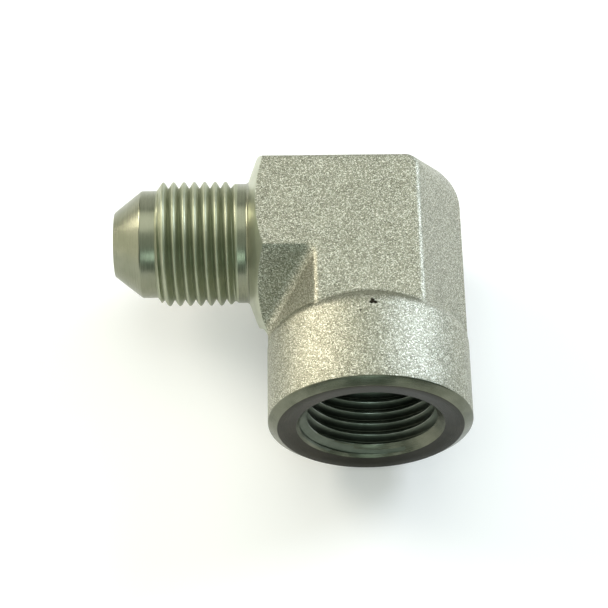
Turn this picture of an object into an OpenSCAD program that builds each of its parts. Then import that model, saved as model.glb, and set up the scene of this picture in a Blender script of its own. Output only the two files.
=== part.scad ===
// Hydraulic elbow adapter, one forged and machined steel piece, in millimetres.
// A male arm with a 37 degree flare nose points along -X and a collar with a
// female parallel pipe port points along -Y. The origin is the middle of the
// port's mouth face, and the two wrench flats face +Z and -Z. Threads are drawn
// as plain cylinders: the male one at its crest, the female one at its minor size.

/* [Forged body] */
// Distance between the front and rear wrench flats
across_flats = 25; // [23:0.5:26]
// Lean of the side facets, from the flats' normal to the facets' normal
facet_angle = 60; // [56:1:64]
// How far the ridges along the parting line stay inside the collar's surface
ridge_inset = 0.1; // [0.05:0.05:0.5]
// Radius of the rounded long edges
edge_round = 1; // [0.5:0.1:1.5]
// Radius of the outer corner, measured at the wrench flats
heel_round = 2; // [1.5:0.1:4]

/* [Port arm] */
// From the crossing of the two bores to the mouth face
port_reach = 31.7; // [29:0.1:38]
// Outer diameter of the collar
collar_d = 30; // [29.5:0.1:32]
// Length of the collar, from the mouth face to its foot on the wrench flats
collar_length = 15.9; // [12:0.1:17]
// Slope of the step between the collar and the wrench flats
collar_slope = 52; // [40:1:65]
// Width of the bevel, at half that slope, between the step and the collar's surface
collar_bevel = 1.3; // [0.4:0.1:1.8]
// Turned chamfer at the mouth face, measured across the face
rim_chamfer_across = 1.2; // [0.4:0.1:1.6]
// The same chamfer, measured along the collar
rim_chamfer_along = 0.95; // [0.4:0.05:1.6]

/* [Port] */
// Minor diameter of the parallel pipe thread, half inch nominal
port_minor_d = 18.63; // [16:0.01:19.5]
// Diameter of the countersink at the mouth face
mouth_d = 21.75; // [21:0.05:23]
// Depth of the drilling that takes the thread
port_depth = 20; // [17:0.1:22]
// Diameter of the passage from the port to the crossing
port_passage_d = 10; // [8.5:0.1:12]
// Full angle of the drill points
drill_point = 118; // [110:1:140]

/* [Male arm] */
// From the crossing of the two bores to the tip of the nose
nose_reach = 38.2; // [35:0.1:46]
// Diameter of the nose at its tip
nose_d = 10.1; // [9.5:0.1:11]
// Lean of the flare seat to the arm's axis
seat_angle = 37; // [30:1:45]
// Diameter of the plain land behind the flare seat
seat_d = 16.4; // [15:0.1:17]
// Length of that land
seat_land = 2.3; // [1:0.1:3]
// Length of the chamfer from the land up to the thread
lead_in = 0.9; // [0.4:0.1:1.4]
// Crest diameter of the male thread, three quarter inch nominal
male_crest_d = 19; // [18.6:0.05:20]
// Diameter of the turned relief between the thread and the shoulder
relief_d = 18.27; // [17:0.01:18.5]
// From the crossing to where the thread ends
thread_end = 19.6; // [18.8:0.1:22]
// From the crossing to the turned shoulder, measured at the wrench flats
shoulder_reach = 16.35; // [16:0.05:18]
// Lean of the shoulder's cone to the arm's axis
shoulder_angle = 70; // [62:1:80]
// Radius of the blend between the relief and the shoulder
shoulder_round = 1.6; // [0.2:0.1:2]
// Diameter of the bore through the nose
nose_bore_d = 8; // [6:0.1:8.4]

/* [Hidden] */
$fn = 96;
// Sets how far a cut runs past the face that it opens
past = 1;
// Sets how far the pieces of the forging run into each other
overlap = 1;
half_flats = across_flats / 2;
collar_r = collar_d / 2;
port_minor_r = port_minor_d / 2;
mouth_r = mouth_d / 2;
port_passage_r = port_passage_d / 2;
nose_bore_r = nose_bore_d / 2;
drill_half = drill_point / 2;
// The passage runs on past the nose bore, so that the bore opens into its wall
passage_past = nose_bore_r + 1;

// Number of flats that draw each rounded long edge
round_steps = 4;

// Arm section: six rounded corners, the ridges at the middle of the height
turn = 90 - facet_angle;
ridge_round_loss = edge_round * (1 / cos(turn) - 1);
ridge_sharp = collar_r - ridge_inset + ridge_round_loss;
flat_half_sharp = ridge_sharp - half_flats * tan(turn);
facet_reach = ridge_sharp * cos(turn);
ridge_centre = ridge_sharp - edge_round / cos(turn);
flat_centre_z = half_flats - edge_round;
flat_centre_x = (facet_reach - edge_round - flat_centre_z * sin(turn)) / cos(turn);
heel_centre = flat_half_sharp - heel_round;

// Collar profile, measured from the mouth face
step_corner = collar_length - (collar_r - half_flats) / tan(collar_slope);
bevel_side = collar_bevel / 2 / cos(collar_slope / 2);
collar_core_r = half_flats - overlap;
collar_end = collar_length + overlap / tan(collar_slope);

// Male arm profile, measured from the crossing
relief_r = relief_d / 2;
crest_r = male_crest_d / 2;
seat_end = nose_reach - (seat_d - nose_d) / 2 / tan(seat_angle);
lead_end = seat_end - seat_land;
crest_start = lead_end - lead_in;
shoulder_foot = shoulder_reach + (half_flats - relief_r) / tan(shoulder_angle);
turning_r = collar_r + 1;
shoulder_outer = shoulder_reach - (turning_r - half_flats) / tan(shoulder_angle);

function unit(angle) = [cos(angle), sin(angle)];

// Sliver between a corner and a round of radius r that touches both its sides,
// which leave the corner at angles a and b
module corner_sliver(corner, a, b, r) {
    half = (b - a) / 2;
    centre = corner + r / sin(half) * unit((a + b) / 2);
    touch = r / tan(half);
    difference() {
        polygon([corner, corner + touch * unit(a), centre, corner + touch * unit(b)]);
        translate(centre) circle(r);
    }
}

// Cross-section of both arms, with the wrench flats above and below
module arm_section() {
    centres = [
        [ridge_centre, 0],
        [flat_centre_x, flat_centre_z],
        [-flat_centre_x, flat_centre_z],
        [-ridge_centre, 0],
        [-flat_centre_x, -flat_centre_z],
        [flat_centre_x, -flat_centre_z]
    ];
    // Directions of the six sides' normals, starting below the right ridge
    normals = [-turn, turn, 90, 180 - turn, 180 + turn, 270, 360 - turn];
    polygon([
        for (i = [0:5], k = [0:round_steps])
            centres[i] + edge_round * unit(normals[i] + (normals[i + 1] - normals[i]) * k / round_steps)
    ]);
}

// Arm along -Y from the outer corner's axis to a distance past the crossing
module arm_along_y(reach) {
    translate([0, heel_centre, 0])
        rotate([90, 0, 0])
            linear_extrude(heel_centre + reach)
                arm_section();
}

// The same arm along -X
module arm_along_x(reach) {
    mirror([1, -1, 0]) arm_along_y(reach);
}

// Outer corner: the arms' own section turned about an upright axis
module heel() {
    translate([heel_centre, heel_centre, 0])
        rotate_extrude(angle = 90)
            intersection() {
                translate([-heel_centre, 0]) arm_section();
                translate([0, -half_flats - past])
                    square([collar_r, across_flats + 2 * past]);
            }
}

// Collar profile: radius across, distance from the mouth face upwards
module collar_profile() {
    polygon([
        [0, 0],
        [collar_r - rim_chamfer_across, 0],
        [collar_r, rim_chamfer_along],
        [collar_r, step_corner - bevel_side],
        [collar_r - bevel_side * sin(collar_slope), step_corner + bevel_side * cos(collar_slope)],
        [collar_core_r, collar_end],
        [0, collar_end]
    ]);
}

module collar() {
    translate([0, -port_reach, 0])
        rotate([-90, 0, 0])
            rotate_extrude() collar_profile();
}

// Metal that the lathe takes off round the male arm, down to the relief
module turning_cut() {
    rotate([0, -90, 0])
        rotate_extrude()
            difference() {
                polygon([
                    [relief_r, shoulder_foot],
                    [turning_r, shoulder_outer],
                    [turning_r, nose_reach],
                    [relief_r, nose_reach]
                ]);
                corner_sliver([relief_r, shoulder_foot], shoulder_angle - 90, 90, shoulder_round);
            }
}

// Male end: relief, thread at its crest, lead-in, land, flare seat and nose tip
module male_end() {
    rotate([0, -90, 0])
        rotate_extrude()
            polygon([
                [0, shoulder_reach - overlap],
                [relief_r, shoulder_reach - overlap],
                [relief_r, thread_end - (crest_r - relief_r)],
                [crest_r, thread_end],
                [crest_r, crest_start],
                [seat_d / 2, lead_end],
                [seat_d / 2, seat_end],
                [nose_d / 2, nose_reach],
                [0, nose_reach]
            ]);
}

// Countersink, thread drilling and passage, as one turned cut along the port
module port_cut() {
    depth_of_taper = (port_minor_r - port_passage_r) / tan(drill_half);
    translate([0, -port_reach, 0])
        rotate([-90, 0, 0])
            rotate_extrude()
                polygon([
                    [0, -past],
                    [mouth_r + past, -past],
                    [port_minor_r, mouth_r - port_minor_r],
                    [port_minor_r, port_depth],
                    [port_passage_r, port_depth + depth_of_taper],
                    [port_passage_r, port_reach + passage_past],
                    [0, port_reach + passage_past + port_passage_r / tan(drill_half)]
                ]);
}

// Bore from the nose to the crossing, with its drill point
module nose_bore() {
    rotate([0, -90, 0])
        rotate_extrude()
            polygon([
                [0, -nose_bore_r / tan(drill_half)],
                [nose_bore_r, 0],
                [nose_bore_r, nose_reach + past],
                [0, nose_reach + past]
            ]);
}

// Both arms and the outer corner between them
module arms() {
    arm_along_y(port_reach - step_corner + bevel_side + overlap);
    arm_along_x(shoulder_foot + overlap);
    heel();
}

// The forging before machining
module forging() {
    arms();
    collar();
}

module elbow_body() {
    color([0.67, 0.67, 0.58])
        translate([0, port_reach, 0])
            difference() {
                union() {
                    difference() {
                        forging();
                        turning_cut();
                    }
                    male_end();
                }
                port_cut();
                nose_bore();
            }
}

elbow_body();
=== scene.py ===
"""Looks of a hydraulic elbow adapter: one piece of forged, turned and plated steel.

The skin is one closed mesh that stands for the CAD solid. It adds what the solid leaves out:
both threads, the blend in the inner corner, the softened step and machined edges, the
shoulder's two slopes and the slight dish of the mouth's face.
Lengths below are in millimetres from the crossing of the two bores, unless a name says
otherwise. The port points along -Y, the male end along -X, and the wrench flats face +Z and -Z.
"""

import logging
import math
from dataclasses import dataclass, field
from enum import Enum

import bmesh
import bpy
import numpy as np
from bpy.types import Material, Mesh, Node, NodeSocket, NodeTree, Object
from mathutils import Matrix, Vector

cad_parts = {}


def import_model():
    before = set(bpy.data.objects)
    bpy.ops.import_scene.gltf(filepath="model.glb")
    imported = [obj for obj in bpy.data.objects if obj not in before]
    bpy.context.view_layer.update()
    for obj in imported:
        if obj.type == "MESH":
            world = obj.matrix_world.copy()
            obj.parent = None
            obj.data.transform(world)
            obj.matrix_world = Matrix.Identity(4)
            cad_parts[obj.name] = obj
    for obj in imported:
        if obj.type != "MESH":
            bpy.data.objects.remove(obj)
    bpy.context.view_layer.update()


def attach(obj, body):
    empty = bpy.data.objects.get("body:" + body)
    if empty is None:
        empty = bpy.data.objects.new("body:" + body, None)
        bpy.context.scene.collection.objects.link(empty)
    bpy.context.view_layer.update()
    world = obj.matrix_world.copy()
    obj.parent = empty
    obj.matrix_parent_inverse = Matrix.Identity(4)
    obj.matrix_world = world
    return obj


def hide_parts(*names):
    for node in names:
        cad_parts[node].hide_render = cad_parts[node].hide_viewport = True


Array = np.ndarray
# Linear red, green and blue
Tone = tuple[float, float, float]
LOG = logging.getLogger("elbow_adapter")
MM = 0.001
FULL_TURN = 2 * np.pi
# Angles closer than this, in radians, are the same
SAME_ANGLE = 1e-9
# Sizes that more than one sub-assembly needs
HALF_FLATS = 12.5
PORT_REACH = 31.7
PASSAGE_R = 5.0


class Skin(Enum):
    """Finish of a patch, and its place among the mesh's material slots."""

    FORGED = 0
    TURNED = 1
    THREAD = 2
    BORE = 3
    FACE = 4
    RIM = 5
    SHOULDER = 6
    # Lighter finish on the female thread's crests: painted highlight
    CREST = 7


@dataclass
class Patch:
    """A grid of points with its finish.

    Attributes:
        points: Rows by columns by three, in millimetres from the crossing.
        skin: Finish of its faces.
        turns: Angle of each column round its axis as a share of a turn.
        slots: Material slot of each face, where one finish doesn't do for the whole patch.
    """

    points: Array
    skin: Skin
    turns: Array
    slots: Array | None = None

    def skins(self) -> Array:
        """Material slot of each face.

        Returns:
            The slots, row by row.
        """
        if self.slots is not None:
            return self.slots.ravel()
        rows, columns = self.points.shape[:2]
        return np.full((rows - 1) * (columns - 1), self.skin.value)

    def run(self) -> Array:
        """Distance along each column from the first row, in millimetres."""
        steps = np.linalg.norm(np.diff(self.points, axis=0), axis=2)
        return np.vstack([np.zeros(steps.shape[1]), np.cumsum(steps, axis=0)])


def cells(grid: Array) -> Array:
    """Values at the four corners of each cell of a grid, in order round the cell."""
    return np.stack([grid[:-1, :-1], grid[:-1, 1:], grid[1:, 1:], grid[1:, :-1]], 2)


def smooth_step(x: Array, start: float, end: float) -> Array:
    """Rises from 0 at start to 1 at end, as 3 t squared less 2 t cubed."""
    t = np.clip((x - start) / (end - start), 0, 1)
    return t * t * (3 - 2 * t)


def soft_max(a: Array, b: Array, reach: Array) -> Array:
    """Larger of a and b, rounded where they differ by less than reach.

    Adds reach times the square of h over 4, with h falling from 1 where a and b are equal
    to 0 where they are reach apart.

    Args:
        a: First values.
        b: Second values.
        reach: Difference below which the corner is rounded.

    Returns:
        The rounded maximum.
    """
    h = np.clip(1 - np.abs(a - b) / reach, 0, 1)
    return np.maximum(a, b) + reach * h * h / 4


def arc(centre: tuple[float, float], radius: float, start_deg: float, end_deg: float,
        steps: int) -> Array:
    """Points on a circular arc, as centre plus radius times cosine and sine.

    Args:
        centre: Centre in the plane of the profile.
        radius: Radius of the arc.
        start_deg: Angle of the first point.
        end_deg: Angle of the last point.
        steps: Number of chords.

    Returns:
        Steps plus one points by two.
    """
    angles = np.radians(np.linspace(start_deg, end_deg, steps + 1))
    return np.stack([centre[0] + radius * np.cos(angles), centre[1] + radius * np.sin(angles)], 1)


@dataclass
class ArmSection:
    """Cross-section of both arms: two wrench flats and four side facets, with rounded edges.

    s runs across the flats' middle plane, z towards the front flat.
    """

    half_flats: float = HALF_FLATS
    ridge_r: float = 14.9
    facet_lean_deg: float = 30.0
    edge_round: float = 1.0
    least_cosine: float = 0.05
    edge_steps: int = 6
    side_steps: int = 29
    angles: Array = field(init=False)
    radii: Array = field(init=False)

    def __post_init__(self) -> None:
        """Works out the column angles and the outline's radius at each."""
        lean = math.radians(self.facet_lean_deg)
        sharp = self.ridge_r + self.edge_round * (1 / math.cos(lean) - 1)
        reach = sharp * math.cos(lean)
        self.flat_half = sharp - self.half_flats * math.tan(lean)
        flat_z = self.half_flats - self.edge_round
        flat_s = (reach - self.edge_round - flat_z * math.sin(lean)) / math.cos(lean)
        ridge_s = sharp - self.edge_round / math.cos(lean)
        centres = np.array([[ridge_s, 0], [flat_s, flat_z], [-flat_s, flat_z],
                            [-ridge_s, 0], [-flat_s, -flat_z], [flat_s, -flat_z]])
        normals = np.array([-lean, lean, np.pi / 2, np.pi - lean, np.pi + lean,
                            1.5 * np.pi, FULL_TURN - lean])
        ways = np.stack([np.cos(normals), np.sin(normals)], 1)
        first = centres + self.edge_round * ways[:-1]
        last = centres + self.edge_round * ways[1:]
        begin = np.unwrap(np.arctan2(first[:, 1], first[:, 0]))
        end = begin + (np.arctan2(last[:, 1], last[:, 0]) - begin + np.pi) % FULL_TURN - np.pi
        following = np.append(begin[1:], begin[0] + FULL_TURN)
        edges = np.linspace(begin, end, self.edge_steps + 1, axis=1)[:, :-1]
        sides = np.linspace(end, following, self.side_steps + 1, axis=1)[:, :-1]
        columns = np.hstack([edges, sides]).ravel()
        columns = np.append(columns, begin[0] + FULL_TURN)
        half = self.edge_steps // 2
        columns = np.concatenate([columns[half:], columns[1:half + 1] + FULL_TURN])
        self.angles = columns
        self.radii = self.outline(columns, centres, begin, end, reach)

    def outline(self, columns: Array, centres: Array, begin: Array,
                end: Array, reach: float) -> Array:
        """Radius of the outline at each angle.

        On a side it is the side's distance over the cosine of the angle to its normal. On a
        rounded edge it is where the ray leaves the edge's circle.

        Args:
            columns: Angles of the rays.
            centres: Centres of the six edge circles.
            begin: Angle at which each edge's round begins.
            end: Angle at which it ends.
            reach: Distance of the side facets from the axis.

        Returns:
            One radius for each angle.
        """
        lean = math.radians(self.facet_lean_deg)
        side_normals = np.array([lean, np.pi / 2, np.pi - lean, np.pi + lean, 1.5 * np.pi,
                                 FULL_TURN - lean])
        distances = np.array([reach, self.half_flats, reach, reach, self.half_flats, reach])
        cosines = np.cos(columns[:, None] - side_normals)
        rays = np.where(cosines > self.least_cosine,
                        distances / np.maximum(cosines, self.least_cosine), np.inf)
        radii = rays.min(axis=1)
        middles = (begin + end) / 2
        away = (columns[:, None] - middles + np.pi) % FULL_TURN - np.pi
        on_edge = np.abs(away) <= (end - begin) / 2 + SAME_ANGLE
        length = np.hypot(centres[:, 0], centres[:, 1])
        off = columns[:, None] - np.arctan2(centres[:, 1], centres[:, 0])
        inside = np.maximum(self.edge_round ** 2 - (length * np.sin(off)) ** 2, 0)
        rounded = length * np.cos(off) + np.sqrt(inside)
        return np.where(on_edge.any(axis=1), np.where(on_edge, rounded, 0).sum(axis=1), radii)

    @property
    def across(self) -> Array:
        """Distance of each column from the middle plane through the axis."""
        return self.radii * np.cos(self.angles)

    @property
    def height(self) -> Array:
        """Z of each column."""
        return self.radii * np.sin(self.angles)

    @property
    def turns(self) -> Array:
        """Angle of each column as a share of a turn."""
        return self.angles / FULL_TURN


@dataclass
class ThreadForm:
    """One turn of a thread: shares of the pitch from a crest's middle, and shares of its depth."""

    pitch: float
    depth: float
    shares: tuple[float, ...]
    depths: tuple[float, ...]

    def helix(self, section: ArmSection, start: float, end: float,
              crest_at: float) -> tuple[Array, Array]:
        """Grid whose rows follow a right-hand helix.

        A row's place along the axis is its turn plus its share of the pitch, less the column's
        share of a turn, times the pitch. What lies beyond start or end is drawn together on it.

        Args:
            section: Gives the columns.
            start: First place along the axis.
            end: Last place along the axis.
            crest_at: Place of a crest at the first column.

        Returns:
            Place along the axis, and depth below the crest as a share, both rows by columns.
        """
        low = math.floor((start - crest_at) / self.pitch) - 1
        high = math.ceil((end - crest_at) / self.pitch) + 2
        shares = np.add.outer(np.arange(low, high), np.array(self.shares)).ravel()
        depths = np.tile(np.array(self.depths), high - low)
        along = crest_at + self.pitch * np.subtract.outer(shares, section.turns)
        return (np.clip(along, start, end),
                np.broadcast_to(depths[:, None], along.shape).copy())


@dataclass
class TurnedEnd:
    """Makes patches about the arm's axis that place() sets, on the section's columns."""

    section: ArmSection

    def around(self, r: Array, along: Array, skin: Skin, twist: Array | float = 0.0) -> Patch:
        """Patch about the axis, at r times the cosine and sine of each column's angle.

        Args:
            r: Radii, rows by columns, or rows by one.
            along: Places along the axis, in the same shape.
            skin: Finish.
            twist: Turn added to each column's angle.

        Returns:
            The patch.
        """
        r, along, angle = np.broadcast_arrays(r, along, self.section.angles[None, :] + twist)
        x, y = self.place(r * np.cos(angle), along)
        return Patch(np.stack([x, y, r * np.sin(angle)], 2), skin, self.section.turns)


@dataclass
class PortEnd(TurnedEnd):
    """Collar with its turned mouth, countersink, female thread and drilled passage.

    Attributes:
        foot_softness: Reach of the soft foot, as a share of the step's height there.
        face_corner, wall_corner, taper_corner: Offsets across and along from a sharp corner to
            the points that round it.
        dish: How much deeper the face's inner edge lies than its outer one.
        window_reach: Half the height of the window in the passage where the nose's bore opens.
        painted_crest_depth: Share of the thread's depth whose faces get the crest's painted
            highlight.
        crest_at: Depth of a crest at the first column.
    """

    reach: float = PORT_REACH
    collar_r: float = 15.0
    foot_from_crossing: float = 15.8
    step_lean_deg: float = 52.0
    step_round: float = 2.6
    step_rows: int = 27
    foot_softness: float = 0.22
    least_softness: float = 1e-4
    wall_rows: int = 8
    chamfer_across: float = 1.4
    chamfer_along: float = 0.9
    face_corner: tuple[tuple[float, float], ...] = ((-.06, 0), (.05, .02), (.12, .075))
    wall_corner: tuple[tuple[float, float], ...] = ((-.12, -.10), (-.03, .02), (0, .12))
    face_middle: float = 12.3
    mouth_r: float = 10.875
    mouth_edge: float = 0.07
    dish: float = 0.32
    minor_r: float = 9.315
    thread_end: float = 18.5
    thread_fade: float = 2.4
    drill_depth: float = 20.0
    taper_corner: tuple[tuple[float, float], ...] = ((-.05, .03), (0, -.06))
    passage_r: float = PASSAGE_R
    passage_middle: float = 7.0
    point_half_deg: float = 59.0
    window_reach: float = 4.8
    window_rows: int = 5
    painted_crest_depth: float = 0.06
    crest_at: float = 1.26
    thread: ThreadForm = field(default_factory=lambda: ThreadForm(
        1.814, 1.162,
        (0, .06, .10, .26, .41, .455, .5, .545, .59, .74, .90, .94),
        (0, 0, .05, .49, .92, .985, 1, .985, .92, .49, .05, 0)))

    def wall_end(self) -> float:
        """Place along the port's axis where the collar's wall meets the step's round.

        Returns:
            The place.
        """
        lean = math.radians(self.step_lean_deg)
        corner = -self.foot_from_crossing - (self.collar_r - HALF_FLATS) / math.tan(lean)
        return corner - self.step_round * math.tan(lean / 2)

    def step_radius(self, y: Array) -> Array:
        """Radius of the step between the flats and the collar.

        A straight cone through the foot, then an arc tangent to it and to the collar.

        Args:
            y: Places along the port's axis.

        Returns:
            One radius for each place.
        """
        lean = math.radians(self.step_lean_deg)
        below = self.wall_end()
        touch = self.step_round * math.tan(lean / 2)
        corner = below + touch
        cone = HALF_FLATS + (-self.foot_from_crossing - y) * math.tan(lean)
        rise = np.clip(y - below, 0, self.step_round)
        rounded = self.collar_r - self.step_round + np.sqrt(self.step_round ** 2 - rise ** 2)
        return np.where(y < below, self.collar_r,
                        np.where(y < corner + touch * math.cos(lean), rounded, cone))

    def step(self, top: Array) -> Patch:
        """Skin from the collar up to the arm: the larger of the section and the step, softened.

        Args:
            top: Place along the port's axis at which each column reaches the plain arm.

        Returns:
            The patch, collar first.
        """
        share = np.linspace(0, 1, self.step_rows)[:, None]
        low = self.wall_end()
        y = low + share * (top - low)
        step = self.collar_r - self.section.radii
        soft = self.foot_softness * step + self.least_softness
        r = soft_max(np.broadcast_to(self.section.radii, y.shape), self.step_radius(y), soft)
        r[-1] = self.section.radii
        return self.around(r, y, Skin.FORGED)

    @staticmethod
    def place(across: Array, along: Array) -> tuple[Array, Array]:
        """X and y of a point, with the axis along y."""
        return across, along

    def turned(self, profile: Array, skin: Skin) -> Patch:
        """Patch from a profile of radius and place along the axis."""
        return self.around(profile[:, :1], profile[:, 1:], skin)

    def outside(self) -> list[Patch]:
        """The mouth's slightly dished face, its turned chamfer and the collar's wall.

        Returns:
            The patches, from the countersink outwards.
        """
        mouth = -self.reach
        near = np.array([self.collar_r - self.chamfer_across, mouth]) + self.face_corner
        far = np.array([self.collar_r, mouth + self.chamfer_along]) + self.wall_corner
        flat = np.array([self.mouth_r, self.mouth_r + self.mouth_edge, self.face_middle,
                         near[0, 0]])
        sunk = self.dish * (flat[-1] - flat) / (flat[-1] - self.mouth_r)
        face = np.vstack([np.stack([flat, mouth + sunk], 1), near[1:2]])
        chamfer = np.vstack([near[1:], far])
        wall_y = np.linspace(far[-1, 1], self.wall_end(), self.wall_rows)
        wall = np.stack([np.full(self.wall_rows, self.collar_r), wall_y], 1)
        return [self.turned(face, Skin.FACE), self.turned(chamfer, Skin.RIM),
                self.turned(wall, Skin.FORGED)]

    def inside(self) -> list[Patch]:
        """Passage, taper and thread, from the passage to the mouth.

        The hole's radius is the larger of the countersink's cone and the thread's helix.

        Returns:
            The patches.
        """
        mouth = -self.reach
        taper = (self.minor_r - self.passage_r) / math.tan(math.radians(self.point_half_deg))
        floor_y = mouth + self.drill_depth + taper
        corner = np.array([self.minor_r, floor_y - taper]) + self.taper_corner
        drilled = np.vstack([
            [[self.passage_r, -self.window_reach], [self.passage_r, -self.passage_middle],
             [self.passage_r, floor_y],
             [(self.passage_r + self.minor_r) / 2, floor_y - taper / 2]],
            corner, [[self.minor_r, mouth + self.thread_end]]])
        depth, below = self.thread.helix(self.section, self.dish, self.thread_end, self.crest_at)
        cone_r = self.mouth_r + self.dish - depth
        fade = 1 - smooth_step(depth, self.thread_end - self.thread_fade, self.thread_end)
        thread_r = self.minor_r + self.thread.depth * below * fade
        r = np.maximum(thread_r, cone_r)
        cut = self.around(r[::-1], (mouth + depth)[::-1], Skin.BORE)
        on_cone = cone_r > thread_r
        # Faces on the thread's crests get a lighter finish, a painted highlight
        crest = below <= self.painted_crest_depth
        slots = np.where(on_cone[1:, 1:] & on_cone[:-1, :-1], Skin.RIM.value, np.where(
            crest[1:, 1:] & crest[:-1, :-1], Skin.CREST.value, Skin.BORE.value))
        cut.slots = slots[::-1]
        return [self.turned(drilled, Skin.BORE), cut]

    def crossing(self, bore_r: float) -> list[Patch]:
        """Wall of the passage where the nose's bore opens into it, and the drill point above.

        The wall is unrolled: w is the distance round it from the side that faces the nose. Its
        columns within a window are left out, and a ring of faces joins the window's rim to the
        bore's rim, in straight lines on the unrolled wall.

        Args:
            bore_r: Radius of the nose's bore.

        Returns:
            The patches.
        """
        sixth = self.section.edge_steps + self.section.side_steps
        count = 6 * sixth
        first, last = 2 * sixth, 4 * sixth
        rows = count // 2 - (last - first)
        levels = np.linspace(self.window_reach, -self.window_reach, rows + 1)
        angles = self.section.angles
        keep = np.concatenate([np.arange(last, count), np.arange(0, first + 1)])
        ring = np.where(keep >= last, angles[keep] - FULL_TURN, angles[keep])
        wall = np.stack(np.broadcast_arrays(
            self.passage_r * np.cos(ring)[None, :], levels[:, None],
            self.passage_r * np.sin(ring)[None, :]), 2)
        rim_w = self.passage_r * (np.pi - angles[first:last + 1])
        half = (last - first) // 2
        top = np.stack([rim_w, np.full(last - first + 1, self.window_reach)], 1)[::-1]
        side = np.stack([np.full(rows + 1, rim_w[0]), levels], 1)
        rim = np.vstack([top[half:-1], side[:-1],
                         (top[::-1] * [1, -1])[:-1],
                         (side[::-1] * [-1, 1])[:-1], top[:half + 1]])
        hole_w = self.passage_r * np.arcsin(bore_r * np.sin(angles) / self.passage_r)
        hole = np.stack([hole_w, bore_r * np.cos(angles)], 1)
        share = np.linspace(0, 1, self.window_rows)[:, None, None]
        flat = rim * (1 - share) + hole * share
        joint = np.stack([-self.passage_r * np.cos(flat[..., 0] / self.passage_r), flat[..., 1],
                          self.passage_r * np.sin(flat[..., 0] / self.passage_r)], 2)
        tip = self.window_reach + self.passage_r / math.tan(math.radians(self.point_half_deg))
        point = np.array([[0, tip], [self.passage_r * .5, (tip + self.window_reach) / 2],
                          [self.passage_r, self.window_reach]])
        return [Patch(wall, Skin.BORE, ring / FULL_TURN),
                Patch(joint, Skin.BORE, self.section.turns),
                self.turned(point, Skin.BORE)]


@dataclass
class ForgedArms:
    """Both arms and the corner between them: the section carried up, round and to the left."""

    section: ArmSection
    heel_round: float = 2.0
    valley_round: float = 1.6
    step_top: float = -14.0
    arc_steps: int = 18
    straight_steps: int = 6
    stop_steps: int = 360

    def corner_radius(self) -> Array:
        """Radius of each column's turn: from the heel's axis, or the valley's round."""
        heel = self.section.flat_half - self.heel_round
        return np.maximum(self.section.across - heel, self.valley_round)

    def start(self) -> Array:
        """Place along the port's axis where each column leaves the collar's step."""
        return np.minimum(self.step_top, self.section.across - self.corner_radius())

    def patches(self, male: "MaleEnd") -> list[Patch]:
        """The arms' skin.

        A column at distance s from the middle runs up along x = s, turns left on an arc about
        (s - radius, s - radius) and runs on along y = s. Each stops on the shoulder's cone.

        Args:
            male: Gives the shoulder's cone.

        Returns:
            Port arm, corner and male arm.
        """
        s, z, radius = self.section.across, self.section.height, self.corner_radius()
        low = self.start()
        share = np.linspace(0, 1, self.straight_steps + 1)[:, None]
        up_y = low + share * (s - radius - low)
        up = np.stack(np.broadcast_arrays(s[None, :], up_y, z[None, :]), 2)
        fine = np.radians(np.linspace(0, 90, self.stop_steps + 1))[:, None]
        past = male.past_shoulder(*self.turn(s, z, radius, fine)) > 0
        stop = np.where(past.any(axis=0), fine[np.argmax(past, axis=0), 0], np.pi / 2)
        angle = np.minimum(np.radians(np.linspace(0, 90, self.arc_steps + 1))[:, None], stop)
        bend = np.stack(np.broadcast_arrays(*self.turn(s, z, radius, angle)), 2)
        end_x = np.where(stop < np.pi / 2 - SAME_ANGLE, bend[-1, :, 0],
                         -male.shoulder_at(self.section.radii))
        along_x = bend[-1, :, 0] + share * (end_x - bend[-1, :, 0])
        away = np.stack(np.broadcast_arrays(along_x, bend[-1, :, 1][None, :], z[None, :]), 2)
        return [Patch(p, Skin.FORGED, self.section.turns) for p in (up, bend, away)]

    @staticmethod
    def turn(s: Array, z: Array, radius: Array, angle: Array) -> tuple[Array, Array, Array]:
        """Point of a column at an angle of its turn: x by cosine, y by sine of the angle."""
        return (s - radius + radius * np.cos(angle), s - radius + radius * np.sin(angle),
                z + 0 * angle)


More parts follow.
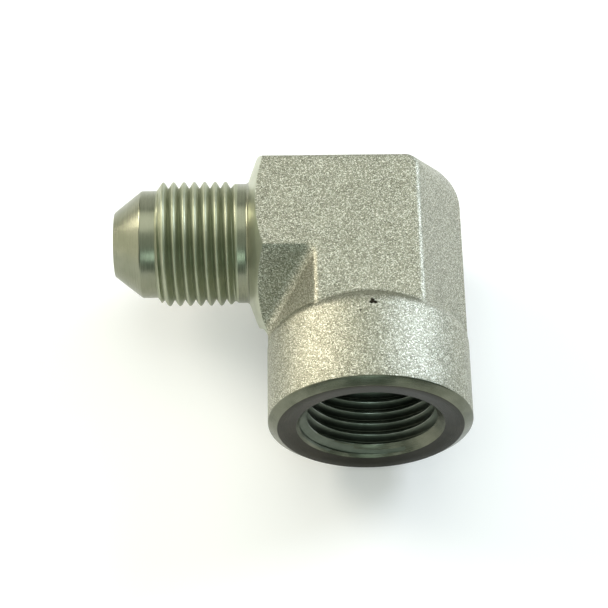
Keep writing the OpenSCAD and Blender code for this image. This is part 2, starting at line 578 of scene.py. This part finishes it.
@dataclass
class MaleEnd(TurnedEnd):
    """Turned shoulder, relief, male thread, lead-in, land, flare seat, nose tip and bore.

    Attributes:
        shoulder_reach: Distance of the shoulder at the flats.
        shoulder_low: Distance at which the shoulder goes square, beside the collar's step.
        groove_full, crest_full: Where the groove has its whole depth, and the crest its height.
        seat_touch, tip_touch, tip_sink: Offsets of the two rounds' centres from their corners.
        bore_edge: Offsets along and across from the bore's sharp mouth to the points round it.
        crest_at: Distance of a crest at the first column.
    """

    shoulder_reach: float = 16.55
    shoulder_lean_deg: float = 70.0
    outer_lean_deg: float = 63.0
    shoulder_low: float = 14.92
    shoulder_round: float = 0.6
    fillet_steps: int = 9
    shoulder_rows: int = 10
    relief_r: float = 9.135
    thread_start: float = 19.3
    groove_full: float = 20.2
    crest_from: float = 20.0
    crest_full: float = 20.9
    crest_r: float = 9.5
    lead_start: float = 30.82
    land_start: float = 31.72
    land_r: float = 8.2
    land_middle: float = 0.8
    seat_start: float = 34.02
    seat_round: float = 0.55
    seat_touch: float = 0.18
    tip: float = 38.2
    tip_r: float = 5.05
    tip_round: float = 0.22
    tip_touch: float = 0.18
    tip_sink: float = 0.04
    round_steps: int = 5
    bore_r: float = 4.0
    bore_edge: tuple[tuple[float, float], ...] = ((0, .12), (-.04, .03), (-.14, 0))
    bore_rows: int = 4
    crest_at: float = 21.36
    thread: ThreadForm = field(default_factory=lambda: ThreadForm(
        1.5875, 1.0,
        (0, .05, .10, .16, .24, .36, .46, .5, .54, .64, .76, .84, .90, .95),
        (0, .015, .06, .16, .36, .68, .95, 1, .95, .68, .36, .16, .06, .015)))

    def shoulder_at(self, r: Array) -> Array:
        """Distance of the shoulder from the crossing: steep, flatter outside, then square.

        Args:
            r: Radii about the male end's axis.

        Returns:
            One distance for each radius.
        """
        steep, flat = (math.tan(math.radians(lean))
                       for lean in (self.shoulder_lean_deg, self.outer_lean_deg))
        over = r - HALF_FLATS
        sloped = self.shoulder_reach - np.minimum(over, 0) / steep - np.maximum(over, 0) / flat
        return np.maximum(sloped, self.shoulder_low)

    def past_shoulder(self, x: Array, y: Array, z: Array) -> Array:
        """How far a point lies beyond the shoulder's cone, towards the nose."""
        return -x - self.shoulder_at(np.hypot(y, z))

    @staticmethod
    def place(across: Array, along: Array) -> tuple[Array, Array]:
        """X and y of a point, with the axis along -x."""
        return -along, across

    def shoulder(self, edge: Array) -> list[Patch]:
        """Cone from the forging's cut edge inwards, and the round at its foot.

        The first row lies on the edge itself, so that the two patches join.

        Args:
            edge: Last row of the forged arm, one point for each column.

        Returns:
            The cone and the round.
        """
        lean = math.radians(self.shoulder_lean_deg)
        foot = float(self.shoulder_at(np.array(self.relief_r)))
        touch = self.shoulder_round * math.tan(lean / 2)
        centre = (foot + touch, self.relief_r + self.shoulder_round)
        fillet = arc(centre, self.shoulder_round, -90 - self.shoulder_lean_deg, -90,
                     self.fillet_steps)
        outer = np.hypot(edge[:, 1], edge[:, 2])
        off = np.arctan2(edge[:, 2], edge[:, 1]) - self.section.angles
        off = (off + np.pi) % FULL_TURN - np.pi
        share = np.linspace(0, 1, self.shoulder_rows)[:, None]
        r = outer + share * (fillet[0, 1] - outer)
        gap = -edge[:, 0] - self.shoulder_at(outer)
        cone = self.around(r, self.shoulder_at(r) + gap * (1 - share) ** 2,
                           Skin.SHOULDER, off * (1 - share))
        plain = np.vstack([fillet, [[self.thread_start, self.relief_r]]])
        return [cone, self.around(plain[:, 1:], plain[:, :1], Skin.TURNED)]

    def threaded(self) -> Patch:
        """Male thread: the smaller of its helix and the lead-in's cone.

        The groove fades in from the relief, and the crest rises to its height beside it.

        Returns:
            The patch.
        """
        s, below = self.thread.helix(self.section, self.thread_start, self.land_start,
                                     self.crest_at)
        rise = smooth_step(s, self.crest_from, self.crest_full)
        crest = self.relief_r + (self.crest_r - self.relief_r) * rise
        groove = smooth_step(s, self.thread_start, self.groove_full)
        r = crest - below * groove * (crest - self.crest_r + self.thread.depth)
        steep = (self.crest_r - self.land_r) / (self.land_start - self.lead_start)
        lead = self.crest_r - steep * (s - self.lead_start)
        return self.around(np.minimum(r, np.maximum(lead, self.land_r)), s, Skin.THREAD)

    def nose(self) -> list[Patch]:
        """Land, flare seat with softened edges, tip and the bore down to the passage's wall.

        Returns:
            The turned outside and the bore.
        """
        s0, s1, s2 = self.land_start, self.seat_start, self.tip
        lean = math.degrees(math.atan((self.land_r - self.tip_r) / (s2 - s1)))
        top = arc((s1 - self.seat_touch, self.land_r - self.seat_round), self.seat_round,
                  90, 90 - lean, self.round_steps)
        rim_r = self.tip_r - self.tip_touch
        rim = arc((s2 - self.tip_round, rim_r - self.tip_sink), self.tip_round, 90 - lean, 0,
                  self.round_steps)
        opening = np.array([s2, self.bore_r]) + self.bore_edge
        profile = np.vstack([[[s0, self.land_r], [s0 + self.land_middle, self.land_r]], top, rim,
                             [[s2, (rim_r + self.bore_r) / 2]], opening])
        begin = opening[-1, 0]
        end = np.sqrt(PASSAGE_R ** 2 - (self.bore_r * np.sin(self.section.angles)) ** 2)
        deep = begin + np.linspace(0, 1, self.bore_rows)[:, None] * (end - begin)
        return [self.around(profile[:, 1:], profile[:, :1], Skin.TURNED),
                self.around(np.full_like(deep, self.bore_r), deep, Skin.BORE)]


class NodeSheet:
    """Adds nodes to a tree in a few words and links them."""

    def __init__(self, tree: NodeTree) -> None:
        """Keeps the tree."""
        self.tree = tree

    def add(self, kind: str, inputs: dict[str | int, object] | None = None,
            **settings: object) -> Node:
        """Adds a node, sets its properties and feeds its inputs.

        Args:
            kind: Blender's name of the node type.
            inputs: What feeds each input, by the input's name or number.
            **settings: Properties and their values.

        Returns:
            The node.
        """
        node = self.tree.nodes.new(kind)
        for name, value in settings.items():
            setattr(node, name, value)
        for socket, source in (inputs or {}).items():
            self.feed(node, socket, source)
        return node

    def feed(self, node: Node, socket: str | int, source: object) -> None:
        """Links an output to a node's input, or sets the input to a value.

        Args:
            node: The node to feed.
            socket: Name or number of its input.
            source: Another node's output, a number or a tone.
        """
        target = node.inputs[socket]
        if isinstance(source, NodeSocket):
            self.tree.links.new(source, target)
        else:
            target.default_value = (*source, 1.0) if target.type == "RGBA" else source

    def math(self, operation: str, a: object, b: object = 0.0) -> NodeSocket:
        """Result of one Math node."""
        return self.add("ShaderNodeMath", {0: a, 1: b}, operation=operation).outputs[0]

    def ramp(self, value: object, low: float, high: float, to_low: float = 0.0,
             to_high: float = 1.0) -> NodeSocket:
        """Smoothly maps low..high to to_low..to_high, held beyond both ends."""
        ends = {"Value": value, "From Min": low, "From Max": high, "To Min": to_low,
                "To Max": to_high}
        return self.add("ShaderNodeMapRange", ends,
                        interpolation_type="SMOOTHSTEP").outputs["Result"]

    def noise(self, vector: object, scale: object, detail: float = 2.0,
              roughness: float = 0.5) -> NodeSocket:
        """Value of a noise texture on a vector."""
        return self.add("ShaderNodeTexNoise", {"Vector": vector, "Scale": scale, "Detail": detail,
                                               "Roughness": roughness}).outputs["Fac"]

    def weigh(self, *terms: tuple[object, object]) -> NodeSocket:
        """Sum of values, each times its weight.

        Args:
            *terms: Pairs of a value and its weight.

        Returns:
            The sum.
        """
        total: object = 0.0
        for value, weight in terms:
            total = self.math("ADD", total, self.math("MULTIPLY", value, weight))
        return total

    def mix(self, factor: object, a: object, b: object) -> NodeSocket:
        """Colour between a and b, which are a Mix node's inputs 6 and 7, and its output 2."""
        return self.add("ShaderNodeMix", {"Factor": factor, 6: a, 7: b},
                        data_type="RGBA").outputs[2]


class SharedGroup:
    """A node group that several finishes share, built by its fill() when it is first used."""

    NAME: str
    INPUTS: dict[str, str]
    OUTPUT: str

    @classmethod
    def use(cls, sheet: NodeSheet, inputs: dict[str | int, object]) -> NodeSocket:
        """Adds the group to a material.

        Args:
            sheet: The material's nodes.
            inputs: What feeds each of the group's inputs.

        Returns:
            The group's output.
        """
        tree = bpy.data.node_groups.get(cls.NAME)
        if tree is None:
            tree = bpy.data.node_groups.new(cls.NAME, "ShaderNodeTree")
            for name, kind in cls.INPUTS.items():
                tree.interface.new_socket(name=name, in_out="INPUT", socket_type=kind)
            tree.interface.new_socket(name="Result", in_out="OUTPUT", socket_type=cls.OUTPUT)
            inner = NodeSheet(tree)
            given = inner.add("NodeGroupInput").outputs[:len(cls.INPUTS)]
            inner.add("NodeGroupOutput", {0: cls.fill(inner, *given)})
        return sheet.add("ShaderNodeGroup", inputs, node_tree=tree).outputs[0]


class PlatingGroup(SharedGroup):
    """The plating's cloudy tone, which every finish shares."""

    NAME = "plating_clouds"
    INPUTS = {"Place": "NodeSocketVector", "Light": "NodeSocketColor",
              "Dark": "NodeSocketColor", "Scale": "NodeSocketFloat"}
    OUTPUT = "NodeSocketColor"

    @staticmethod
    def fill(sheet: NodeSheet, place: NodeSocket, light: NodeSocket, dark: NodeSocket,
             scale: NodeSocket) -> NodeSocket:
        """Colour between the two tones, by a noise on the place."""
        cloud = sheet.ramp(sheet.noise(place, scale, detail=3.0), 0.34, 0.66)
        return sheet.mix(cloud, dark, light)


class RingGroup(SharedGroup):
    """The lathe's fine rings, which the turned finishes share."""

    NAME = "lathe_rings"
    INPUTS = {"Profile": "NodeSocketVector", "Scale": "NodeSocketFloat"}
    OUTPUT = "NodeSocketFloat"

    @staticmethod
    def fill(sheet: NodeSheet, profile: NodeSocket, scale: NodeSocket) -> NodeSocket:
        """A noise on the distance along the profile, which is the UV map's second value."""
        along = sheet.add("ShaderNodeSeparateXYZ", {0: profile}).outputs[1]
        line = sheet.add("ShaderNodeCombineXYZ", {0: sheet.math("MULTIPLY", along, scale)})
        return sheet.noise(line.outputs[0], 1.0, roughness=0.6)


def metal(sheet: NodeSheet, colour: NodeSocket, roughness: NodeSocket, height: NodeSocket,
          distance: float) -> None:
    """Feeds a metal material's Principled node.

    Args:
        sheet: The material's nodes.
        colour: Its colour.
        roughness: Its roughness.
        height: Height of its bumps as a share.
        distance: Height in metres that a share of 1 stands for.
    """
    shader = sheet.tree.nodes["Principled BSDF"]
    shader.inputs["Metallic"].default_value = 1.0
    bump = sheet.add("ShaderNodeBump", {"Strength": 1.0, "Distance": distance, "Height": height})
    for socket, source in (("Base Color", colour), ("Roughness", roughness),
                           ("Normal", bump.outputs["Normal"])):
        sheet.feed(shader, socket, source)


@dataclass(frozen=True)
class Nick:
    """A small dark dent: its middle in the row frame and half sizes in metres, turn in radians."""

    centre: tuple[float, float]
    turn: float
    half_length: float
    half_width: float


@dataclass(frozen=True)
class ForgedSkin:
    """Blasted forging skin under the plating: a fine grain, nicks, painted shade in pits and
    painted glints.
    """

    name: str = "forged_skin"
    light: Tone = (0.317, 0.318, 0.246)
    dark: Tone = (0.284, 0.286, 0.22)
    # Painted shade: near-black specks in the colour that stand for shade in the skin's pits
    painted_pit_shade: Tone = (0.09, 0.09, 0.065)
    # Painted highlight: bright specks in the colour that stand for glints of light on the grain
    painted_glint: Tone = (0.85, 0.85, 0.74)
    nick_tone: Tone = (0.022, 0.019, 0.013)
    painted_pit_share: float = 0.88
    painted_pit_range: tuple[float, float] = (0.22, 0.46)
    painted_glint_share: float = 0.88
    painted_glint_range: tuple[float, float] = (0.56, 0.78)
    cloud_scale: float = 260.0
    grain_scale: float = 8400.0
    coarse_scale: float = 3400.0
    cell_scale: float = 8200.0
    grain_weights: tuple[float, float, float] = (0.62, 0.16, 0.22)
    roughness: float = 0.42
    roughness_spread: float = 0.08
    bump_distance: float = 0.00008
    nick_core: float = 0.45
    nick_fray: float = 0.9
    nick_edge: tuple[float, float] = (-0.06, 0.10)
    nicks: tuple[Nick, ...] = (Nick((0.00028, 0.01278), -0.42, 0.00070, 0.00052),
                               Nick((-0.00155, 0.01141), 0.6, 0.00020, 0.00014),
                               Nick((-0.00195, 0.01118), 0.0, 0.00012, 0.00009))

    def nick_mask(self, sheet: NodeSheet, place: NodeSocket, fine: NodeSocket) -> NodeSocket:
        """1 inside the nicks on the collar's upper side, 0 elsewhere.

        A nick is a star of three arms on a stretched disc. Its edge lies where the distance
        from its middle is the core's share, plus the rest times the size of the cosine of one
        and a half times the angle.

        Args:
            sheet: The material's nodes.
            place: Object coordinates.
            fine: The grain, which frays the edge.

        Returns:
            The mask.
        """
        x, y, z = sheet.add("ShaderNodeSeparateXYZ", {0: place}).outputs
        fray = sheet.math("MULTIPLY", sheet.math("SUBTRACT", fine, 0.5), self.nick_fray)
        total: object = 0.0
        for nick in self.nicks:
            u = sheet.math("SUBTRACT", x, nick.centre[0])
            v = sheet.math("SUBTRACT", y, nick.centre[1])
            cosine, sine = math.cos(nick.turn), math.sin(nick.turn)
            along = sheet.weigh((u, cosine / nick.half_length), (v, sine / nick.half_length))
            across = sheet.weigh((u, -sine / nick.half_width), (v, cosine / nick.half_width))
            squares = sheet.weigh((along, along), (across, across))
            distance = sheet.math("ADD", sheet.math("SQRT", squares), fray)
            angle = sheet.math("ARCTAN2", across, along)
            arms = sheet.math("ABSOLUTE", sheet.math("COSINE", sheet.math("MULTIPLY", angle, 1.5)))
            edge = sheet.weigh((arms, 1 - self.nick_core), (1.0, self.nick_core))
            inside = sheet.ramp(sheet.math("SUBTRACT", edge, distance), *self.nick_edge)
            total = sheet.math("MAXIMUM", total, inside)
        return sheet.math("MULTIPLY", total, sheet.math("GREATER_THAN", z, 0.0))

    def material(self) -> Material:
        """Builds the material: cloudy colour, painted pit shade and painted glints by cell, nicks
        and a fine grain.

        Returns:
            The material.
        """
        material = bpy.data.materials.new(self.name)
        material.use_nodes = True
        sheet = NodeSheet(material.node_tree)
        place = sheet.add("ShaderNodeTexCoord").outputs["Object"]
        fine = sheet.noise(place, self.grain_scale, roughness=0.6)
        coarse = sheet.noise(place, self.coarse_scale, detail=1.0)
        specks = sheet.add("ShaderNodeTexVoronoi", {"Vector": place, "Scale": self.cell_scale})
        chance = sheet.add("ShaderNodeSeparateColor", {0: specks.outputs["Color"]})
        speck = sheet.weigh((chance.outputs[0], 0.5), (fine, 0.5))
        grain = sheet.weigh(*zip((fine, coarse, specks.outputs["Distance"]), self.grain_weights))
        colour = PlatingGroup.use(sheet, {"Place": place, "Light": self.light,
                                          "Dark": self.dark, "Scale": self.cloud_scale})
        # Painted shade in the pits and painted glints, chosen by each cell's random value
        painted_pit_mask = sheet.ramp(speck, *self.painted_pit_range, self.painted_pit_share, 0.0)
        colour = sheet.mix(painted_pit_mask, colour, self.painted_pit_shade)
        painted_glint_mask = sheet.ramp(speck, *self.painted_glint_range, 0.0, self.painted_glint_share)
        colour = sheet.mix(painted_glint_mask, colour, self.painted_glint)
        nick = self.nick_mask(sheet, place, fine)
        rough = sheet.ramp(fine, 0.3, 0.7, self.roughness + self.roughness_spread,
                           self.roughness - self.roughness_spread)
        metal(sheet, sheet.mix(nick, colour, self.nick_tone), rough,
              sheet.math("SUBTRACT", grain, nick), self.bump_distance)
        return material


@dataclass(frozen=True)
class TurnedSkin:
    """Lathe-turned steel under the plating: fine rings and a smooth gloss."""

    name: str
    light: Tone
    dark: Tone
    roughness: float
    cloud_scale: float = 420.0
    ring_scale: float = 1500.0
    ring_distance: float = 0.000004
    less_rough: float = 0.05
    more_rough: float = 0.07

    def material(self) -> Material:
        """Builds the material: cloudy colour, and rings in its bump and roughness.

        Returns:
            The material.
        """
        material = bpy.data.materials.new(self.name)
        material.use_nodes = True
        sheet = NodeSheet(material.node_tree)
        coordinates = sheet.add("ShaderNodeTexCoord").outputs
        rings = RingGroup.use(sheet, {"Profile": coordinates["UV"], "Scale": self.ring_scale})
        colour = PlatingGroup.use(sheet, {"Place": coordinates["Object"], "Light": self.light,
                                          "Dark": self.dark, "Scale": self.cloud_scale})
        rough = sheet.ramp(rings, 0.3, 0.7, self.roughness - self.less_rough,
                           self.roughness + self.more_rough)
        metal(sheet, colour, rough, rings, self.ring_distance)
        return material


@dataclass
class ElbowAdapter:
    """The whole piece: arms, port end and male end, joined into one skin.

    Attributes:
        merge_distance, least_edge: In metres, as they work on the finished mesh.
        profile_unit: Millimetres along the profile for one unit of the UV map.
    """

    sharp_deg: float = 32.0
    merge_distance: float = 2e-6
    least_edge: float = 1e-7
    profile_unit: float = 100.0

    def patches(self) -> list[Patch]:
        """Makes all patches.

        Returns:
            The patches, from the passage out of the port, over the skin and in at the nose.
        """
        section = ArmSection()
        port, arms, male = PortEnd(section), ForgedArms(section), MaleEnd(section)
        forged = arms.patches(male)
        return [*port.inside(), *port.outside(), port.step(arms.start()), *forged,
                *male.shoulder(forged[-1].points[-1]), male.threaded(), *male.nose(),
                *port.crossing(male.bore_r)]

    def mesh(self) -> Mesh:
        """Puts all patches into one mesh and closes it.

        Each patch gives its points and a quad for every cell. Points at the same place are
        merged, which joins the patches, and the normals are then turned outwards.

        Returns:
            The mesh, in metres in the row frame.
        """
        points, quads, skins, maps = [], [], [], []
        offset, run = 0, 0.0
        for patch in self.patches():
            rows, columns = patch.points.shape[:2]
            index = offset + np.arange(rows * columns).reshape(rows, columns)
            along = patch.run()
            turns = np.broadcast_to(patch.turns, (rows, columns))
            profile = np.stack([turns, (run + along) / self.profile_unit], 2)
            points.append(patch.points.reshape(-1, 3))
            quads.append(cells(index).reshape(-1, 4))
            skins.append(patch.skins())
            maps.append(cells(profile).reshape(-1, 2))
            offset += rows * columns
            run += float(along[-1].mean())
        place = (np.vstack(points) + [0, PORT_REACH, 0]) * MM
        faces = np.vstack(quads)
        mesh = bpy.data.meshes.new("elbow_skin")
        mesh.vertices.add(len(place))
        mesh.vertices.foreach_set("co", place.astype(np.float32).ravel())
        mesh.loops.add(faces.size)
        mesh.loops.foreach_set("vertex_index", faces.astype(np.int32).ravel())
        mesh.polygons.add(len(faces))
        mesh.polygons.foreach_set("loop_start", np.arange(0, faces.size, 4, dtype=np.int32))
        mesh.polygons.foreach_set("material_index", np.concatenate(skins).astype(np.int32))
        layer = mesh.uv_layers.new(name="profile")
        layer.data.foreach_set("uv", np.vstack(maps).astype(np.float32).ravel())
        mesh.update(calc_edges=True)
        self.close(mesh)
        return mesh

    def close(self, mesh: Mesh) -> None:
        """Merges the patches' shared points, turns the faces outwards and marks sharp edges.

        Args:
            mesh: The mesh, which is changed in place.
        """
        work = bmesh.new()
        work.from_mesh(mesh)
        bmesh.ops.remove_doubles(work, verts=work.verts, dist=self.merge_distance)
        bmesh.ops.dissolve_degenerate(work, edges=work.edges, dist=self.least_edge)
        bmesh.ops.recalc_face_normals(work, faces=work.faces)
        if work.calc_volume(signed=True) < 0:
            bmesh.ops.reverse_faces(work, faces=work.faces)
        open_edges = sum(1 for edge in work.edges if not edge.is_manifold)
        work.to_mesh(mesh)
        LOG.info("elbow skin: %d faces, %.1f cubic mm, %d open edges", len(work.faces),
                 work.calc_volume() / MM ** 3, open_edges)
        work.free()
        mesh.polygons.foreach_set("use_smooth", np.ones(len(mesh.polygons), bool))
        mesh.set_sharp_from_angle(angle=math.radians(self.sharp_deg))
        mesh.update()

    def build(self) -> Object:
        """Makes the piece, dresses it and lets it stand for the CAD solid.

        Returns:
            The piece.
        """
        mesh = self.mesh()
        for material in self.materials():
            mesh.materials.append(material)
        piece = bpy.data.objects.new("elbow_skin", mesh)
        bpy.context.scene.collection.objects.link(piece)
        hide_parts("elbow_body")
        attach(piece, "root")
        LOG.info("built %s", piece.name)
        return piece

    @staticmethod
    def materials() -> list[Material]:
        """The finishes, in the order of the mesh's material slots.

        Returns:
            One material for each skin.
        """
        finishes = {
            Skin.FORGED: ForgedSkin(),
            Skin.TURNED: TurnedSkin(
                "turned_steel", (0.25, 0.258, 0.19), (0.22, 0.231, 0.165), 0.28),
            Skin.THREAD: TurnedSkin(
                "threaded_steel", (0.385, 0.405, 0.30), (0.34, 0.365, 0.26), 0.44),
            # Darker than the other turned steel: painted shade inside the bores and the female
            # thread's grooves
            Skin.BORE: TurnedSkin(
                "drilled_steel_painted_shade", (0.16, 0.18, 0.145), (0.125, 0.142, 0.112), 0.45),
            # The face's near-black colour is painted shade: turned steel darkened to stand for the
            # dark reflection it shows
            Skin.FACE: TurnedSkin(
                "faced_steel_painted_dark", (0.031, 0.029, 0.020), (0.023, 0.022, 0.015), 0.28),
            # Darker than the other turned steel: painted shade, for the dark reflections of the
            # chamfer and countersink
            Skin.RIM: TurnedSkin(
                "chamfered_steel_painted_dark", (0.17, 0.175, 0.132), (0.13, 0.137, 0.10), 0.28),
            # Painted light: a lighter copy of the turned steel, for the bright shoulder cone that
            # faces the left lamps
            Skin.SHOULDER: TurnedSkin(
                "shoulder_steel_painted_light", (0.52, 0.54, 0.43), (0.46, 0.48, 0.37), 0.36),
            # Lighter than the grooves: painted highlight on the female thread's crests
            Skin.CREST: TurnedSkin(
                "crest_painted_highlight", (0.33, 0.35, 0.305), (0.20, 0.215, 0.18), 0.28),
        }
        return [finishes[skin].material() for skin in Skin]


@dataclass(frozen=True)
class Softbox:
    """A square lamp that looks at the piece; its direction points to it, lengths are in metres."""

    name: str
    direction: tuple[float, float, float]
    distance: float
    side: float
    radiance: float
    tint: Tone

    def build(self, target: Vector) -> None:
        """Hangs the lamp; its power is the radiance times pi times its area.

        Args:
            target: Point that it looks at.
        """
        lamp = bpy.data.lights.new(self.name, "AREA")
        lamp.shape = "SQUARE"
        lamp.size = self.side
        lamp.color = self.tint
        lamp.energy = self.radiance * math.pi * self.side ** 2
        holder = bpy.data.objects.new(self.name, lamp)
        way = Vector(self.direction).normalized()
        holder.location = target + way * self.distance
        holder.rotation_mode = "QUATERNION"
        holder.rotation_quaternion = way.to_track_quat("Z", "Y")
        bpy.context.scene.collection.objects.link(holder)


@dataclass
class Studio:
    """Floor, lamps, world and camera."""

    target: tuple[float, float, float] = (-0.008, 0.022, 0.0)
    floor_z: float = -0.0151
    floor_side: float = 6.0
    floor_grey: float = 0.80
    floor_glow: float = 0.26
    world_tone: Tone = (0.78, 1.0, 0.84)
    world_level: float = 0.20
    azimuth_deg: float = -0.718
    elevation_deg: float = 60.525
    roll_deg: float = -0.062
    distance_mm: float = 305.169
    right_mm: float = 9.303
    up_mm: float = 9.516
    lens_mm: float = 117.75
    sensor_mm: float = 36.0
    clip: tuple[float, float] = (0.01, 20.0)
    softboxes: tuple[Softbox, ...] = (
        Softbox("left_softbox", (-0.74, 0.46, 0.46), 0.60, 0.26, 10.9, (1.0, 0.91, 0.79)),
        Softbox("left_fill", (-0.95, -0.10, 0.20), 0.60, 0.50, 1.2, (1.0, 0.94, 0.80)),
        Softbox("right_softbox", (0.75, 0.47, 0.47), 0.60, 0.25, 12.3, (0.79, 0.86, 1.0)),
        Softbox("back_softbox", (0.0, 0.95, 0.28), 0.70, 0.50, 0.7, (1.0, 0.98, 0.94)),
        Softbox("top_softbox", (0.0, 0.0, 1.0), 0.90, 1.50, 0.42, (0.96, 1.0, 0.93)),
        Softbox("top_back", (0.0, 0.36, 0.93), 0.90, 0.80, 1.15, (1.0, 0.985, 0.93)),
        Softbox("front_window", (0.0, -0.83, 0.56), 0.60, 0.17, 3.6, (0.76, 0.97, 0.93)),
        Softbox("front_left", (-0.39, -0.90, 0.18), 0.60, 0.11, 1.8, (0.95, 1.0, 0.95)),
        Softbox("front_right", (0.39, -0.90, 0.18), 0.60, 0.11, 1.8, (0.95, 1.0, 0.95)),
    )

    def build(self) -> None:
        """Builds all of it."""
        self.floor()
        self.world()
        for softbox in self.softboxes:
            softbox.build(Vector(self.target))
        self.camera()
        scene = bpy.context.scene
        scene.view_settings.view_transform = "Standard"
        LOG.info("built the studio")

    def floor(self) -> None:
        """A wide pale plate just under the collar, which catches the shadow.

        Seen directly or in metal it also gives a little white of its own, which lights nothing.
        """
        half = self.floor_side / 2
        mesh = bpy.data.meshes.new("floor")
        mesh.from_pydata([(-half, -half, self.floor_z), (half, -half, self.floor_z),
                          (half, half, self.floor_z), (-half, half, self.floor_z)], [],
                         [(0, 1, 2, 3)])
        plate = bpy.data.objects.new("floor", mesh)
        bpy.context.scene.collection.objects.link(plate)
        material = bpy.data.materials.new("floor_white")
        material.use_nodes = True
        sheet = NodeSheet(material.node_tree)
        material.node_tree.nodes.clear()
        matte = sheet.add("ShaderNodeBsdfDiffuse", {"Color": (self.floor_grey,) * 3})
        none, glow = (sheet.add("ShaderNodeEmission", {
            "Color": (1.0, 1.0, 1.0), "Strength": strength}).outputs[0]
            for strength in (0.0, self.floor_glow))
        rays = sheet.add("ShaderNodeLightPath").outputs
        seen = sheet.math("MAXIMUM", rays["Is Camera Ray"], sheet.math(
            "MAXIMUM", rays["Is Glossy Ray"], rays["Is Transmission Ray"]))
        choose = sheet.add("ShaderNodeMixShader", {0: seen, 1: none, 2: glow})
        total = sheet.add("ShaderNodeAddShader", {0: matte.outputs[0], 1: choose.outputs[0]})
        sheet.add("ShaderNodeOutputMaterial", {"Surface": total.outputs[0]})
        mesh.materials.append(material)

    def world(self) -> None:
        """A dim, even and slightly green light from all sides."""
        world = bpy.data.worlds.new("studio")
        world.use_nodes = True
        sheet = NodeSheet(world.node_tree)
        world.node_tree.nodes.clear()
        plain = sheet.add("ShaderNodeBackground", {"Color": self.world_tone,
                                                   "Strength": self.world_level})
        sheet.add("ShaderNodeOutputWorld", {"Surface": plain.outputs[0]})
        bpy.context.scene.world = world

    def camera(self) -> None:
        """Camera at the photograph's angle, from three turns, a distance and two offsets."""
        a, e = math.radians(self.azimuth_deg), math.radians(self.elevation_deg)
        back = Vector((math.sin(a) * math.cos(e), -math.cos(a) * math.cos(e), math.sin(e)))
        right = Vector((math.cos(a), math.sin(a), 0))
        up = back.cross(right)
        roll = math.radians(self.roll_deg)
        right, up = (right * math.cos(roll) + up * math.sin(roll),
                     up * math.cos(roll) - right * math.sin(roll))
        place = (Vector((0, PORT_REACH, 0)) + back * self.distance_mm - right * self.right_mm
                 - up * self.up_mm) * MM
        data = bpy.data.cameras.new("camera")
        data.lens = self.lens_mm
        data.sensor_width = self.sensor_mm
        data.clip_start, data.clip_end = self.clip
        camera = bpy.data.objects.new("camera", data)
        camera.matrix_world = Matrix.Translation(place) @ Matrix(
            (right, up, back)).transposed().to_4x4()
        bpy.context.scene.collection.objects.link(camera)
        bpy.context.scene.camera = camera


def main() -> None:
    """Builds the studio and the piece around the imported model."""
    logging.basicConfig(level=logging.INFO, format="%(name)s: %(message)s")
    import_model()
    Studio().build()
    ElbowAdapter().build()
    bpy.context.view_layer.update()


if __name__ == "__main__":
    main()
